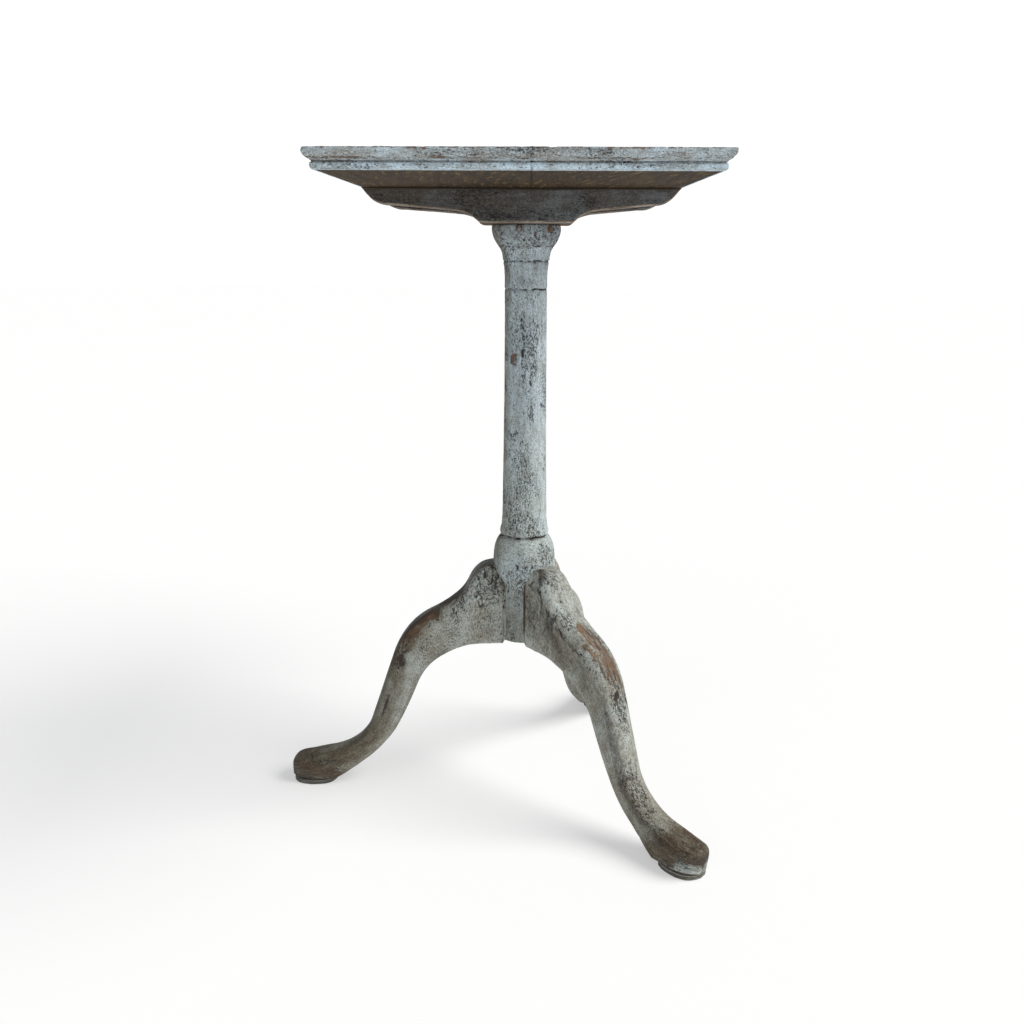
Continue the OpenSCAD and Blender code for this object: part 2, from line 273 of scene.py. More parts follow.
def aged_paint(
    name, high, low, streak, dark, wood, deep_wood, cracks=0.8, grime=0.5, stretch=0.14, streaks=0.6
):
    """Old crackled paint over wood. The grain attribute runs along the wood in its third part. The wear
    attribute bares the wood, and on the bearers it also paints a highlight along the eased lower edge. The
    dirt attribute darkens and the stain attribute browns, both for grime and stains of the real thing and
    for painted shade; crackle gathers cracks, and tone goes from the low colour to the high one, which on
    the legs and bearers also paints light and shade."""
    s = Shader(name)
    grain = s.attribute("grain", vector=True)
    wear_and_highlight, dirt_and_shade = s.attribute("wear_and_highlight"), s.attribute("dirt_and_shade")
    tone, crackle = s.attribute("tone"), s.attribute("crackle")
    patches = s.noise(grain, 24, 4, 0.6)
    mottle = s.noise(s.scaled(grain, (1, 1, 0.5), (5.3, 1.1, 0.7)), 105, 5, 0.68)
    bands = s.noise(s.scaled(grain, (1, 1, stretch)), 260, 6, 0.7, 0.3)
    fine = s.noise(s.scaled(grain, (1, 1, 0.8)), 780, 4, 0.8)
    specks = s.noise(s.scaled(grain, (1, 1, 0.65), (3.1, 0.4, 2.2)), 470, 4, 0.72)
    where = s.noise(s.scaled(grain, (1, 1, 0.5), (7.3, 1.9, 5.1)), 42, 4, 0.62)
    gather = s.math("ADD", s.math("MULTIPLY", crackle, 0.22), where)

    color = s.mix(s.math("ADD", s.step(patches, 0.34, 0.66, -0.35, 0.35), tone), low, high)
    color = s.mix(s.step(mottle, 0.42, 0.68, 0.0, 0.6), color, streak)
    color = s.mix(s.step(bands, 0.45, 0.7, 0.0, streaks), color, streak)
    color = s.mix(s.step(fine, 0.48, 0.66, 0.0, grime), color, s.mix(0.5, streak, dark))
    color = s.mix(s.step(fine, 0.5, 0.34, 0.0, 0.6), color, tuple(min(1.0, c * 1.18) for c in high))

    # fine wandering cracks, long ones along the grain and short ones across it
    long_at = s.noise(s.wobble(s.scaled(grain, (1, 1, 0.2)), 240, 0.0015), 300, 3, 0.6)
    long_crack = s.step(s.math("ABSOLUTE", s.math("SUBTRACT", long_at, 0.5)), 0.006, 0.026, 1.0, 0.0)
    short_at = s.noise(s.wobble(s.scaled(grain, (0.8, 1, 1), (2.7, 8.1, 4.4)), 300, 0.002), 270, 3, 0.6)
    short_crack = s.step(s.math("ABSOLUTE", s.math("SUBTRACT", short_at, 0.5)), 0.006, 0.028, 1.0, 0.0)
    long_crack = s.math("MULTIPLY", long_crack, s.step(gather, 0.55, 0.68, 0.0, 1.0))
    short_crack = s.math("MULTIPLY", short_crack, s.step(gather, 0.62, 0.74, 0.0, 1.0))
    crack = s.math("MULTIPLY", s.math("MAXIMUM", long_crack, short_crack), s.step(specks, 0.38, 0.56))
    color = s.mix(s.math("MULTIPLY", crack, cracks), color, dark)

    # small chips down to the dark ground, more of them where the cracks gather
    chip = s.step(s.math("ADD", specks, s.step(gather, 0.42, 0.78, -0.04, 0.1)), 0.63, 0.67)
    pits = s.noise(s.scaled(grain, (1, 1, 0.5), (8.3, 5.1, 0.2)), 900, 2, 0.5)
    pits = s.step(s.math("ADD", pits, s.step(where, 0.4, 0.66, -0.02, 0.05)), 0.63, 0.67)
    chip = s.math("MAXIMUM", chip, pits)
    color = s.mix(s.math("MULTIPLY", chip, 0.85), color, dark)

    # bare wood where the paint is worn through, with a ragged edge and streaks of paint left on it
    ragged = s.math("ADD", bands, s.math("MULTIPLY", specks, 0.9))
    bare = s.step(s.math("ADD", wear_and_highlight, ragged), 1.36, 1.47)
    fibres = s.noise(s.scaled(grain, (1, 1, 0.09), (1.3, 2.2, 0.1)), 330, 6, 0.75)
    wood_color = s.mix(s.step(fibres, 0.42, 0.58), deep_wood, wood)
    wood_color = s.mix(s.step(mottle, 0.48, 0.7, 0.0, 0.5), wood_color, streak)
    remnants = s.noise(s.scaled(grain, (1, 1, 0.16), (6.1, 3.7, 0.9)), 330, 5, 0.7)
    wood_color = s.mix(s.step(remnants, 0.52, 0.6, 0.0, 0.8), wood_color, s.mix(0.5, low, high))
    wood_color = s.mix(s.step(fine, 0.5, 0.7, 0.0, 0.5), wood_color, dark)
    color = s.mix(s.math("MULTIPLY", bare, 0.95), color, wood_color)
    # browned by the stain attribute and darkened by the dirt attribute, for stains and grime and for painted
    # shade
    stained_and_shaded = s.math("MULTIPLY", s.attribute("stain_and_shade"), s.step(mottle, 0.3, 0.6, 0.75, 1.15))
    color = s.mix(stained_and_shaded, color, STAIN_AND_SHADE_TINT, "MULTIPLY")
    gathered = s.math("ADD", s.math("ADD", specks, mottle), dirt_and_shade)
    soot_and_shade = s.math("MULTIPLY", dirt_and_shade, s.step(gathered, 0.95, 1.75, 0.3, 1.25))
    color = s.mix(soot_and_shade, color, s.mix(0.3, dark, deep_wood))

    height = s.math("SUBTRACT", s.math("MULTIPLY", bands, 0.5), s.math("MULTIPLY", crack, 0.8))
    height = s.math("SUBTRACT", height, s.math("MULTIPLY", chip, 0.8))
    height = s.math("SUBTRACT", height, s.math("MULTIPLY", bare, s.math("SUBTRACT", 1.1, fibres)))
    height = s.math("ADD", height, s.math("MULTIPLY", fine, 0.45))
    roughness = s.math("ADD", s.step(fine, 0.3, 0.7, 0.62, 0.82), s.math("MULTIPLY", bare, -0.1))
    return s.finish(color, roughness, height, 0.0006, 0.75)


def bare_wood(name, light, mid, deep, marks=0.0, centre=(0, 0, 0)):
    """Aged bare wood with grain, and optional curved saw marks around a far centre."""
    s = Shader(name)
    grain = s.attribute("grain", vector=True)
    dirt_and_shade = s.attribute("dirt_and_shade")
    return wood_nodes(s, grain, dirt_and_shade, light, mid, deep, marks, centre)


def wood_nodes(s, grain, dirt_and_shade, light, mid, deep, marks=0.0, centre=(0, 0, 0)):
    rings = s.noise(s.scaled(grain, (1, 1, 0.06)), 90, 5, 0.6, 0.8)
    fibres = s.noise(s.scaled(grain, (1, 1, 0.03), (4.1, 0.2, 1.7)), 900, 5, 0.7)
    patches = s.noise(grain, 16, 4, 0.6)
    color = s.mix(s.step(rings, 0.35, 0.65), deep, mid)
    color = s.mix(s.step(fibres, 0.5, 0.75, 0.0, 0.55), color, light)
    color = s.mix(s.step(patches, 0.45, 0.7, 0.0, 0.45), color, deep)
    height = s.math("ADD", s.math("MULTIPLY", fibres, 0.7), s.math("MULTIPLY", rings, 0.3))
    if marks:
        away = s.node("ShaderNodeVectorMath", operation="DISTANCE")
        s.put(away.inputs[0], s.wobble(s.scaled(grain, (1, 1, 0.3)), 70, 0.012))
        away.inputs[1].default_value = centre
        arcs = s.math("SINE", s.math("MULTIPLY", away.outputs["Value"], 2 * math.pi / 0.0095))
        shown = s.step(s.noise(s.scaled(grain, (1, 1, 0.35), (9, 2, 4)), 75, 5, 0.7), 0.5, 0.62)
        arcs = s.math("MULTIPLY", s.step(arcs, 0.2, 1.0), shown)
        color = s.mix(s.math("MULTIPLY", arcs, marks), color, light)
        height = s.math("ADD", height, s.math("MULTIPLY", arcs, 0.4))
    color = s.mix(dirt_and_shade, color, s.mix(0.7, deep, (0.01, 0.008, 0.006)))
    s.bsdf.inputs["Specular IOR Level"].default_value = 0.15
    return s.finish(color, 0.85, height, 0.0005, 0.6)


def object_grain(s, order):
    """Object coordinates turned so that the third part runs along the wood."""
    coordinates = s.node("ShaderNodeTexCoord").outputs["Object"]
    split = s.node("ShaderNodeSeparateXYZ")
    s.put(split.inputs[0], coordinates)
    join = s.node("ShaderNodeCombineXYZ")
    for k, axis in enumerate(order):
        s.put(join.inputs[k], split.outputs[axis])
    return join.outputs[0]


def cad_wood(name, order, light, mid, deep):
    """Aged bare wood for a piece without attributes of its own."""
    s = Shader(name)
    grain = object_grain(s, order)
    return wood_nodes(s, grain, s.step(s.noise(grain, 30), 0.4, 0.8, 0.0, 0.4), light, mid, deep)


def old_metal(name, bright, dull, dark, metallic, low, high):
    """Hand-worked metal with a patina, rust or tarnish in the hollows."""
    s = Shader(name)
    place = s.node("ShaderNodeTexCoord").outputs["Object"]
    blotches = s.noise(place, 120, 6, 0.65, 0.3)
    pits = s.noise(place, 900, 4, 0.7)
    scratches = s.noise(s.scaled(place, (0.06, 1, 1)), 2600, 3, 0.6)
    color = s.mix(s.step(blotches, 0.38, 0.64), dull, bright)
    color = s.mix(s.step(pits, 0.52, 0.74, 0.0, 0.8), color, dark)
    s.bsdf.inputs["Metallic"].default_value = metallic
    roughness = s.math("ADD", s.step(blotches, 0.35, 0.65, high, low), s.math("MULTIPLY", scratches, 0.12))
    height = s.math("SUBTRACT", s.math("MULTIPLY", scratches, 0.25), s.math("MULTIPLY", pits, 0.6))
    return s.finish(color, roughness, height, 0.0002, 0.5)


# ---- materials ------------------------------------------------------------------------------

INK = rgb(34, 34, 38)
WOOD = rgb(134, 94, 66)
DEEP_WOOD = rgb(72, 46, 32)

column_paint = aged_paint(
    "column_paint", rgb(186, 202, 210), rgb(180, 190, 186), rgb(128, 127, 119), INK, WOOD, DEEP_WOOD,
    0.95, 0.72
)
leg_paint = aged_paint(
    "leg_paint", rgb(180, 188, 184), rgb(146, 142, 127), rgb(112, 103, 87), rgb(38, 33, 29),
    rgb(134, 104, 76), rgb(74, 54, 39), 0.95, 0.75
)
edge_paint = aged_paint(
    "edge_paint", rgb(206, 228, 240), rgb(146, 144, 138), rgb(112, 104, 94), INK, rgb(124, 100, 80),
    rgb(80, 60, 46), 0.8, 0.5, 0.1, 0.7
)
# the pale wood colour also serves as the painted highlight along the bearers' eased lower edge
bearer_paint = aged_paint(
    "bearer_paint", rgb(118, 124, 128), rgb(84, 78, 68), rgb(58, 52, 46), rgb(20, 18, 18), rgb(176, 160, 140),
    rgb(112, 92, 72), 0.8, 0.5, 0.06, 0.8
)
under_wood = bare_wood(
    "under_wood", rgb(136, 108, 60), rgb(60, 47, 29), rgb(38, 29, 18), 0.42, (0.34, 0.0, 0.05)
)
block_wood = cad_wood("block_wood", (1, 2, 0), rgb(138, 112, 82), rgb(104, 82, 60), rgb(70, 54, 40))
wedge_wood = cad_wood("wedge_wood", (0, 1, 2), rgb(120, 96, 70), rgb(92, 72, 52), rgb(60, 46, 34))
iron = old_metal("iron", rgb(96, 92, 88), rgb(58, 52, 48), rgb(64, 36, 24), 0.85, 0.42, 0.68)
brass = old_metal("brass", rgb(186, 152, 88), rgb(120, 94, 54), rgb(52, 44, 28), 1.0, 0.3, 0.55)


# ---- column ---------------------------------------------------------------------------------

HUB_R = 29.5
CAP_R = 38.7
TENON_R = 13
GROOVE_Z = (318.7, 600, 630.3)
GRAIN_R = 26
column_profile = np.concatenate(
    [
        [[0.01, FOOT_Z + 1.2], [12, FOOT_Z + 1.0], [22, FOOT_Z + 0.3], [27.5, FOOT_Z]],
        curve([[28.3, FOOT_Z], [29.2, FOOT_Z + 0.2], [HUB_R, FOOT_Z + 1], [HUB_R, FOOT_Z + 2.5]], 5),
        curve([[HUB_R, 254], [HUB_R, 267], [35.5, 270], [36.6, 280]], 12),
        curve([[36.6, 280], [37.1, 301], [34.1, 310], [28.9, 317.2]], 14),
        [[27.0, 317.9], [26.4, 318.8], [27.0, 319.7]],
        curve([[28.1, 320], [29.4, 324], [27.4, 328], [26.5, 331]], 8),
        [[26, 342], [24.8, 417], [23.9, 504], [23.7, 598.6], [23.2, 599.4], [23.1, 600.2], [23.5, 601.2]],
        curve([[23.8, 602], [23.8, 620], [24.7, 626], [25.8, 629]], 7),
        [[25.1, 629.6], [24.7, 630.3], [25.3, 631.1]],
        curve([[26, 631.5], [26.6, 639], [28, 642], [30.5, 645.5]], 8),
        curve([[30.5, 645.5], [35.5, 652], [CAP_R, 658], [CAP_R - 0.3, BLOCK_Z - 0.9]], 12),
        [[CAP_R - 0.9, BLOCK_Z - 0.25], [CAP_R - 2.5, BLOCK_Z - 0.1], [20, BLOCK_Z - 0.1]],
        [[TENON_R + 0.3, BLOCK_Z - 0.1], [TENON_R, BLOCK_Z + 0.5], [TENON_R, UNDER_Z - 0.7],
         [TENON_R - 0.6, UNDER_Z - 0.1], [0.01, UNDER_Z - 0.1]],
    ]
)
column_line = resample(column_profile, 2.2)
SIDES = 144
theta = np.linspace(0, 2 * np.pi, SIDES, endpoint=False)
rr, tt = np.meshgrid(column_line[:, 0], theta, indexing="ij")
zz = np.repeat(column_line[:, 1][:, None], SIDES, axis=1)
column_v = np.stack([rr * np.cos(tt), rr * np.sin(tt), zz], -1).reshape(-1, 3)
column_f = loft_faces(len(column_line), SIDES)
column_n = normals_of(column_v, column_f)
radius = np.hypot(column_v[:, 0], column_v[:, 1])
skin = smooth(radius, 14, 22)
hollow = -0.28 - 0.28 * fractal(column_v * [1, 1, 0.4], 16, 3) - 0.16 * fractal(column_v, 4.5, 5)
rim_chip = smooth(column_v[:, 2], BLOCK_Z - 14, BLOCK_Z - 1) * smooth(fractal(column_v, 9, 8), 0.16, 0.6)
hollow -= 1.5 * rim_chip
round_by = np.arctan2(column_v[:, 1], column_v[:, 0])
z = column_v[:, 2].copy()
wander = fractal(np.stack([round_by * GRAIN_R, z * 0, z * 0], -1), 9, 33)
for at in GROOVE_Z:
    column_v[:, 2] += 1.1 * wander * np.exp(-(((z - at) / 5) ** 2))
column_v = column_v + column_n * (hollow * skin)[:, None]
groove = sum(np.exp(-(((z - at) / wide) ** 2)) for at, wide in zip(GROOVE_Z, (1.1, 1.0, 1.0)))
faint = 0.95 * np.exp(-(((z - 645.5) / 1.0) ** 2)) + 0.8 * np.exp(-(((z - 622) / 0.9) ** 2))
broken = np.clip(0.6 + 1.3 * fractal(np.stack([round_by * GRAIN_R, z * 0, z], -1), 6, 21), 0, 1.2)
facing = np.degrees(round_by) + 90
patchy = fractal(column_v * [1, 1, 0.35], 26, 15)
column_field = {
    "wear_and_highlight": 0.1 + 0.5 * rim_chip + 0.16 * smooth(z, 650, 668),
    # painted shade: besides the grooves and the listed spots, this field darkens the hub below the bell, the
    # top of the capital under the pivot block, and a band down the column's right side
    "dirt_and_shade": groove * broken + faint * broken + 0.2 * smooth(-z, -266, -215)
    + 0.3 * smooth(z, 640, BLOCK_Z - 6) + 0.12 * smooth(np.cos(round_by - 0.15), 0.85, 1.0),
    "crackle": 0.3 + 0.45 * smooth(patchy, 0.0, 0.5) + 0.4 * smooth(z, 630, 650) + 0.5 * groove,
}
ragged_z = z + 5 * fractal(column_v, 7, 41)
ragged_by = facing + 9 * fractal(column_v, 5, 42)
# worn, sooty and cracked places: kind, height, degrees to the right of the front, half height,
# half width in degrees, amount
for kind, at_z, at_by, long, wide, amount in (
    ("wear_and_highlight", 665, -9, 4, 7, 0.75),
    ("wear_and_highlight", 664, 40, 5, 8, 0.75),
    ("wear_and_highlight", 661, 18, 3, 4, 0.5),
    ("crackle", 535, -4, 46, 9, 1.5),
    ("crackle", 530, 20, 34, 20, 0.8),
    ("dirt_and_shade", 530, -7, 5, 5, 0.9),
    ("dirt_and_shade", 552, -8, 26, 3.0, 0.6),
    ("dirt_and_shade", 524, -32, 9, 14, 0.45),
    ("wear_and_highlight", 524, -34, 8, 14, 0.45),
    ("dirt_and_shade", 498, 13, 5, 6, 0.8),
    ("dirt_and_shade", 462, 15, 32, 2.4, 0.5),
    ("dirt_and_shade", 458, -2, 34, 2.4, 0.4),
    ("crackle", 455, 8, 50, 30, 0.35),
    ("dirt_and_shade", 473, 54, 4, 9, 0.75),
    ("crackle", 330, 5, 16, 60, 0.6),
    ("crackle", 290, 0, 26, 80, 0.55),
    ("dirt_and_shade", 286, -14, 3, 5, 0.9),
    ("dirt_and_shade", 283, 40, 3, 4, 0.9),
):
    spot = ((ragged_z - at_z) / long) ** 2 + ((ragged_by - at_by) / wide) ** 2
    column_field[kind] = column_field[kind] + amount * smooth(-spot, -1.3, -0.3)
column = make_object(
    "turned_column",
    column_v + [COLUMN_X, 0, 0],
    column_f,
    {
        "grain": np.stack([round_by * GRAIN_R, radius, z], -1) * MM,
        "wear_and_highlight": np.clip(column_field["wear_and_highlight"], 0, 1),
        "dirt_and_shade": np.clip(column_field["dirt_and_shade"], 0, 0.95),
        "crackle": column_field["crackle"],
        "tone": smooth(z, 300, 560) * 0.8 + 0.2,
        # painted shade: this browns and darkens the column's left side, away from the light, the hub below
        # the bell and the top of the capital under the boards
        "stain_and_shade": np.clip(0.75 * smooth(-np.cos(round_by + 0.1), 0.5, 0.95) + 0.5 * smooth(-z, -272, -238)
                         + 0.25 * smooth(z, 636, 655), 0, 1),
    },
)
column.data.materials.append(column_paint)
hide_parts("column")
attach(column, "base")


# ---- legs -----------------------------------------------------------------------------------

# A leg's upper and lower edge, as pairs of curves (distance from the column's axis, height)
leg_edges = [
    [[[20, 283], [44, 287.5], [58, 280], [66.5, 260]], [[20, 185], [32, 185], [44, 186], [55, 185]]],
    [[[66.5, 260], [72.5, 247], [85, 236], [109, 223.5]], [[55, 185], [68, 184], [80, 180], [92, 172]]],
    [[[109, 223.5], [132, 212], [148.5, 193], [157.5, 166]], [[92, 172], [108, 163], [120, 150], [128, 130]]],
    [[[157.5, 166], [165, 144], [176, 111], [185, 84]], [[128, 130], [136, 110], [145, 88], [156, 69]]],
    [[[185, 84], [190, 67], [206, 48.5], [235, 42]], [[156, 69], [168, 51], [186, 32], [208, 19]]],
    [[[235, 42], [244, 40], [252, 38], [258, 36.3]], [[208, 19], [217, 13.7], [223, 10.4], [231, 6.5]]],
    [[[258, 36.3], [271, 32.8], [286, 34], [286.5, 19]], [[231, 6.5], [240, 6], [278, 6], [289, 6]]],
]
STEPS = [34, 30, 38, 30, 32, 14, 36]
WIDTHS = ([0, 0.2, 0.6, 1.6, 3, 4, 5, 6, 7], [40, 40, 47, 47, 37, 34.5, 40, 45, 45])
SQUARE = ([0, 1.5, 2.4, 3, 4, 5, 6, 7], [8, 7, 4.8, 3.5, 2.6, 2.4, 2.8, 2.8])
UNDER_SQUARE = ([0, 1.5, 2.4, 3, 4, 4.8, 6, 7], [8, 7, 4.8, 3.5, 2.6, 2.6, 8, 8])
CHAMFERS = ([0, 0.6, 1.2, 2, 3, 7], [0.1, 0.2, 0.3, 0.3, 0, 0])
ARRIS_U = 0.58
FOOT_CENTRE, FOOT_R = 264.0, 22.5
PAD_CENTRE, PAD_HALF = 257.5, 5.5
FRONT_LEG_ANGLE, REAR_LEG_ANGLE = -48, 64.5
TOE_STEPS = 34
RING = 84


def leg_mesh(name, node, angle, seed, lift, marks, toe_paint):
    """A leg and its pad. Marks are worn, sooty, stained or cracked places, and on the front leg also painted
    shade on its side away from the light: (kind, stretch, place across, length, width, amount), where the
    place across runs from -1 to 1 over the top of the leg and on to 2 or -2 half way down its sides."""
    rings = []
    run = 0.0
    last_mid = None
    turn = np.linspace(0, 2 * np.pi, RING, endpoint=False)
    attributes = {"along": [], "s": [], "u": [], "v": []}
    for k, (upper, lower) in enumerate(leg_edges):
        kept = TOE_STEPS if k == len(leg_edges) - 1 else STEPS[k]
        top = curve(upper, STEPS[k])[:kept]
        low = curve(lower, STEPS[k])[:kept]
        for i in range(len(top)):
            s = k + i / STEPS[k]
            mid, half = (top[i] + low[i]) / 2, (top[i] - low[i]) / 2
            width = np.interp(s, *WIDTHS)
            if mid[0] > FOOT_CENTRE:
                width = 2 * math.sqrt(max(9.0, FOOT_R**2 - (mid[0] - FOOT_CENTRE) ** 2))
            power = 2 / np.where(np.cos(turn) < 0, np.interp(s, *UNDER_SQUARE), np.interp(s, *SQUARE))
            u = np.sign(np.cos(turn)) * np.abs(np.cos(turn)) ** power
            v = np.sign(np.sin(turn)) * np.abs(np.sin(turn)) ** power
            keep = 1 - np.interp(s, *CHAMFERS) * np.maximum(0, u - ARRIS_U) / (1 - ARRIS_U)
            rings.append(np.stack([mid[0] + half[0] * u, width / 2 * v * keep, mid[1] + half[1] * u], -1))
            if last_mid is not None:
                run += float(np.linalg.norm(mid - last_mid))
            last_mid = mid
            attributes["along"].append(np.full(RING, run))
            attributes["s"].append(np.full(RING, s))
            attributes["u"].append(u)
            attributes["v"].append(v)
    # the toe closes with two smaller loops
    for shrink, forward in ((0.86, 0.12), (0.5, 0.12)):
        centre = rings[-1].mean(axis=0)
        rings.append(centre + (rings[-1] - centre) * shrink + [forward, 0, 0])
        for key in attributes:
            attributes[key].append(attributes[key][-1])
    verts = np.array(rings).reshape(-1, 3)
    faces = [f[::-1] for f in loft_faces(len(rings), RING)]
    normals = normals_of(verts, faces)
    along, s, u, v = (np.concatenate(attributes[key]) for key in ("along", "s", "u", "v"))
    p = verts + [0, 0, seed * 50]
    dent = -0.1 - 0.25 * fractal(p * [0.5, 1, 0.5], 22, seed) - 0.15 * fractal(p, 6, seed + 1)
    corner = np.abs(u) * np.abs(v)
    dent -= 0.7 * smooth(corner, 0.62, 0.9) * smooth(fractal(p, 14, seed + 4), -0.1, 0.7)
    dent -= 0.3 * smooth(s, 5.6, 6.6)
    dent *= smooth(np.hypot(verts[:, 0], verts[:, 1]), 26, 32)
    verts = verts + normals * dent[:, None]
    from_hub = np.hypot(verts[:, 0], verts[:, 1])
    verts[(from_hub < HUB_R - 0.2) & (verts[:, 2] < FOOT_Z + 0.6), 2] = FOOT_Z + 0.6
    verts[:, 2] = np.maximum(verts[:, 2], 0.6)

    # the sole: an oval pad with thin worn layers, tucked up into the foot
    layers = np.array(
        [[20.9, 0.0], [21.5, 0.5], [21.4, 1.6], [20.6, 1.9], [21.5, 2.3], [21.3, 3.3], [20.5, 3.6],
         [21.4, 4.0], [21.2, 5.3], [20.4, 5.7], [20.6, 6.1], [18, 6.9]]
    )
    around = np.linspace(0, 2 * np.pi, RING, endpoint=False)
    sideways = np.clip(np.cos(around) * 1.6, -1, 1)
    pad_x = PAD_CENTRE + sideways * PAD_HALF
    pad_v = np.array(
        [np.stack([pad_x + r * np.cos(around), r * np.sin(around), around * 0 + h], -1) for r, h in layers]
    ).reshape(-1, 3)
    out = np.tile(np.stack([np.cos(around), np.sin(around)], -1), (len(layers), 1))
    pad_v[:, :2] += out * (0.35 * fractal(pad_v, 5, seed + 9) - 0.4)[:, None]
    faces += loft_faces(len(layers), RING, len(verts))
    all_v = np.concatenate([verts, pad_v])
    rad = math.radians(angle)
    turned = np.stack(
        [
            all_v[:, 0] * math.cos(rad) - all_v[:, 1] * math.sin(rad) + COLUMN_X,
            all_v[:, 0] * math.sin(rad) + all_v[:, 1] * math.cos(rad),
            all_v[:, 2],
        ],
        -1,
    )

    # where the paint is worn, dirty and cracked, with painted shade under the upper leg and painted light on
    # its top
    painted_top_light = smooth(u, 0.35, 0.95)
    over_top = v + np.sign(v) * (1 - np.clip(u, 0, 1)) * (np.abs(v) > 0.5)
    across = np.where(u > 0, over_top, np.sign(v) * (2 - u))
    wobble_s = s + 0.12 * fractal(p, 12, seed + 20) + 0.06 * fractal(p, 4, seed + 21)
    wobble_q = across + 0.3 * fractal(p, 10, seed + 22) + 0.15 * fractal(p, 4, seed + 23)
    field = {kind: np.zeros_like(s) for kind in ("dirt_and_shade", "crackle", "stain_and_shade")}
    field["wear_and_highlight"] = 0.1 + 0.1 * smooth(corner, 0.62, 0.9)
    for kind, at_s, at_q, long, wide, amount in marks:
        spot = ((wobble_s - at_s) / long) ** 2 + ((wobble_q - at_q) / wide) ** 2
        field[kind] = field[kind] + amount * smooth(-spot, -1.3, -0.25)
    foot = smooth(s, 4.9, 5.7)
    blotch = fractal(p * [0.5, 1, 1], 14, seed + 11)
    toe = smooth(s + 0.1 * blotch, 6.42, 6.56) * smooth(-u, -0.6, -0.1) * toe_paint
    field["wear_and_highlight"] += 0.36 * foot * (0.9 + 0.8 * blotch) * (1 - toe)
    field["dirt_and_shade"] += (0.2 * foot + 0.2 * foot * blotch) * (1 - toe)
    # painted shade: the second term darkens the underside of the upper leg
    field["dirt_and_shade"] += 0.45 * smooth(s, 6.6, 6.9) * (1 - toe) + 0.4 * smooth(-u, 0.6, 1.0) * smooth(s, 0.5, 2.0)
    field["stain_and_shade"] += (0.3 * smooth(s, 3.6, 5.2) + 0.68 * foot) * (1 - toe)
    field["dirt_and_shade"] += 0.6 * np.exp(-(((from_hub - 31) / 1.2) ** 2)) * smooth(s, 0, 0.05)
    field["crackle"] += 0.5 * smooth(s, 6.1, 6.4) * toe_paint
    # painted light: the top of each leg is made lighter than its sides
    tone = lift + 0.2 * painted_top_light - 0.45 * smooth(s, 3.0, 5.0) + 0.7 * toe
    n = len(pad_v)
    seam = sum(np.exp(-(((pad_v[:, 2] - at) / 0.3) ** 2)) for at in (1.9, 3.6, 5.8))
    pad_along = np.tile(around, len(layers)) * 18
    pad_grain = np.stack([pad_v[:, 2] * 4, pad_v[:, 2] * 0 + seed * 30, pad_along], -1)
    leg_grain = np.stack([np.arctan2(v, u) * 19, u * 0 + seed * 40, along], -1)
    obj = make_object(
        name,
        turned,
        faces,
        {
            "grain": np.concatenate([leg_grain, pad_grain]) * MM,
            "wear_and_highlight": np.concatenate([field["wear_and_highlight"], np.full(n, 0.35)]),
            "dirt_and_shade": np.clip(np.concatenate([field["dirt_and_shade"], 0.2 + 0.75 * seam]), 0, 0.95),
            "crackle": np.concatenate([field["crackle"], np.full(n, 0.4)]),
            "stain_and_shade": np.clip(np.concatenate([field["stain_and_shade"], np.full(n, 0.35)]), 0, 1),
            "tone": np.clip(np.concatenate([tone, np.full(n, 0.5)]), 0, 1),
        },
    )
    obj.data.materials.append(leg_paint)
    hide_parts(node)
    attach(obj, "base")
    return obj


leg_mesh(
    "cabriole_leg_left", "leg_left", 180, 1, 0.5,
    [
        ("dirt_and_shade", 0.9, 0.1, 1.1, 1.15, 0.5),
        ("dirt_and_shade", 1.9, 0.0, 0.9, 1.1, 0.5),
        ("crackle", 0.9, 1.35, 0.9, 0.4, 0.9),
        ("crackle", 1.0, 0.9, 1.0, 0.3, 1.0),
        ("crackle", 1.7, 1.35, 0.6, 0.35, 0.9),
        ("crackle", 0.1, 1.6, 0.22, 0.6, 1.2),
        ("wear_and_highlight", 2.5, 0.9, 0.72, 0.75, 0.42),
        ("wear_and_highlight", 2.2, 0.5, 0.5, 0.8, 0.32),
        ("stain_and_shade", 2.5, 0.9, 0.9, 0.9, 0.4),
        ("dirt_and_shade", 2.75, 0.5, 0.5, 0.5, 0.4),
        ("dirt_and_shade", 2.92, 1.55, 0.08, 0.2, 1.0),
        ("crackle", 2.85, 1.5, 0.25, 0.35, 1.3),
        ("dirt_and_shade", 3.7, 1.6, 0.22, 0.12, 0.8),
        ("dirt_and_shade", 3.6, 0.2, 1.3, 0.8, 0.35),
        ("stain_and_shade", 3.9, 1.2, 1.7, 1.3, 0.75),
        ("crackle", 5.8, 1.6, 0.9, 0.4, 1.3),
        ("stain_and_shade", 1.4, 0.6, 1.6, 0.5, 0.5),
    ],
    0.0,
)
